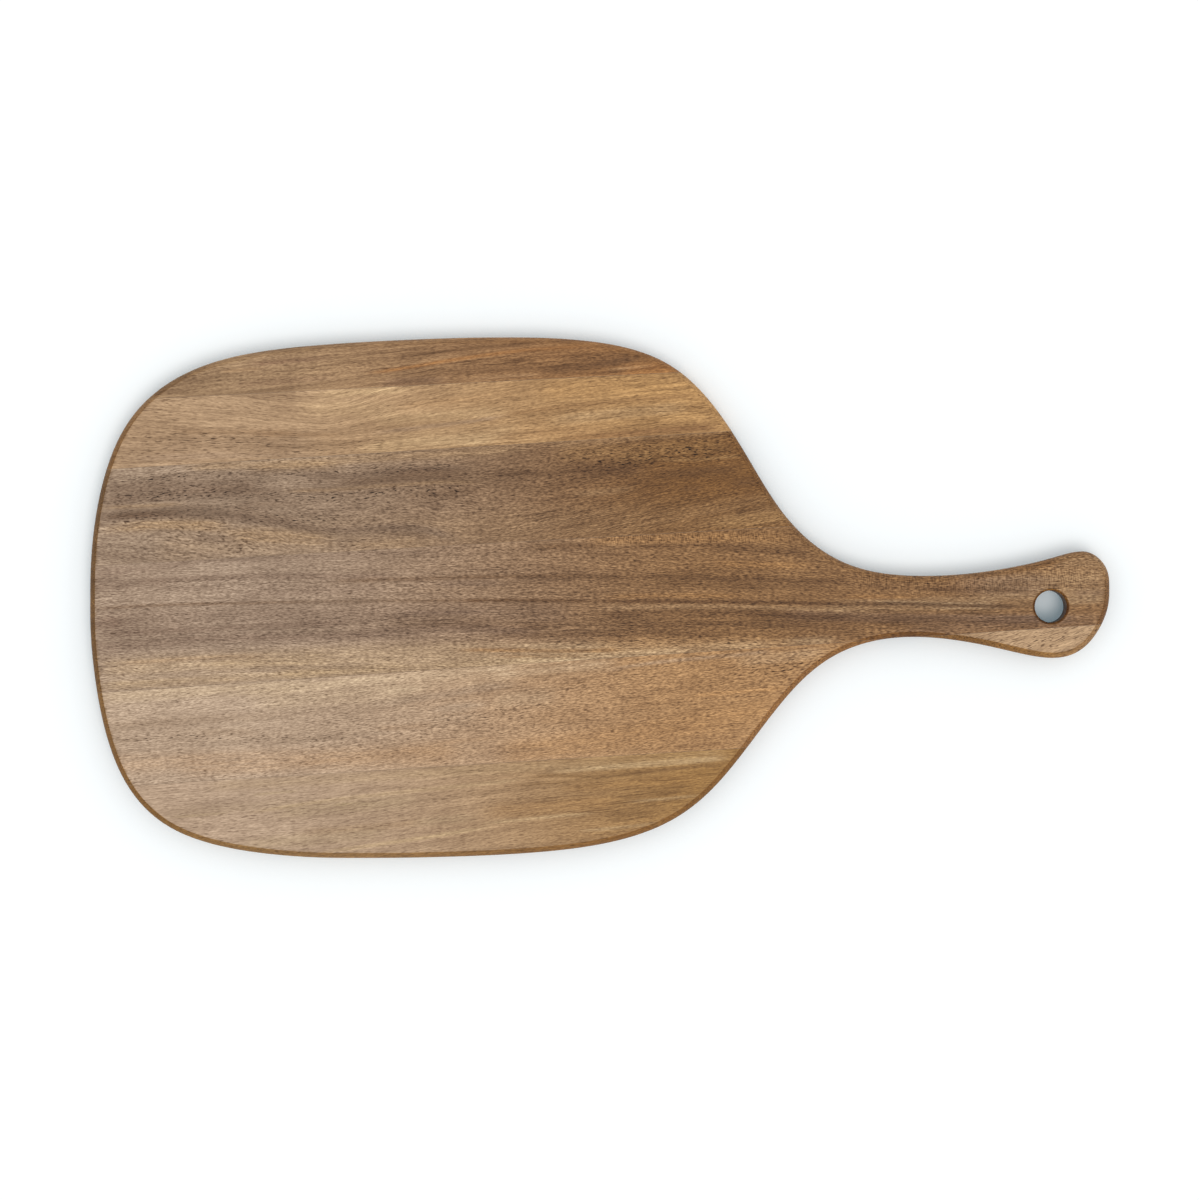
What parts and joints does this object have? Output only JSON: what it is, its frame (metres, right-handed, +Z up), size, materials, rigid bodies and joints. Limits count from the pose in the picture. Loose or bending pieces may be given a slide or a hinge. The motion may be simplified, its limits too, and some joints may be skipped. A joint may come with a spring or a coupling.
{
  "type": "paddle charcuterie board",
  "caption": "Paddle-shaped wooden serving board of edge-glued staves with a rounded rim, a flared handle and a hanging hole.",
  "frame": {"origin": "middle of the board's outer box, on the surface that it lies on", "axes": "+X along the board toward the handle, +Y across the blade, +Z up out of the serving face"},
  "size_m": [0.509, 0.26, 0.015],
  "materials": {
    "top_edge_wood": "oiled satin",
    "pale_wood": "oiled satin",
    "figured_wood": "oiled satin",
    "handle_wood": "oiled satin",
    "lower_wood": "oiled satin",
    "bottom_edge_wood": "oiled satin",
    "tip_wood": "oiled satin",
    "glue": "matte"
  },
  "bodies": {
    "root": {"top_edge_stave": "top_edge_wood", "pale_stave": "pale_wood", "figured_stave": "figured_wood", "handle_stave": "handle_wood", "lower_stave": "lower_wood", "bottom_edge_stave": "bottom_edge_wood", "handle_tip_piece": "tip_wood", "upper_glue_line": "glue", "pale_glue_line": "glue", "handle_upper_glue_line": "glue", "handle_lower_glue_line": "glue", "bottom_glue_line": "glue", "tip_glue_line": "glue"}
  },
  "joints": []
}
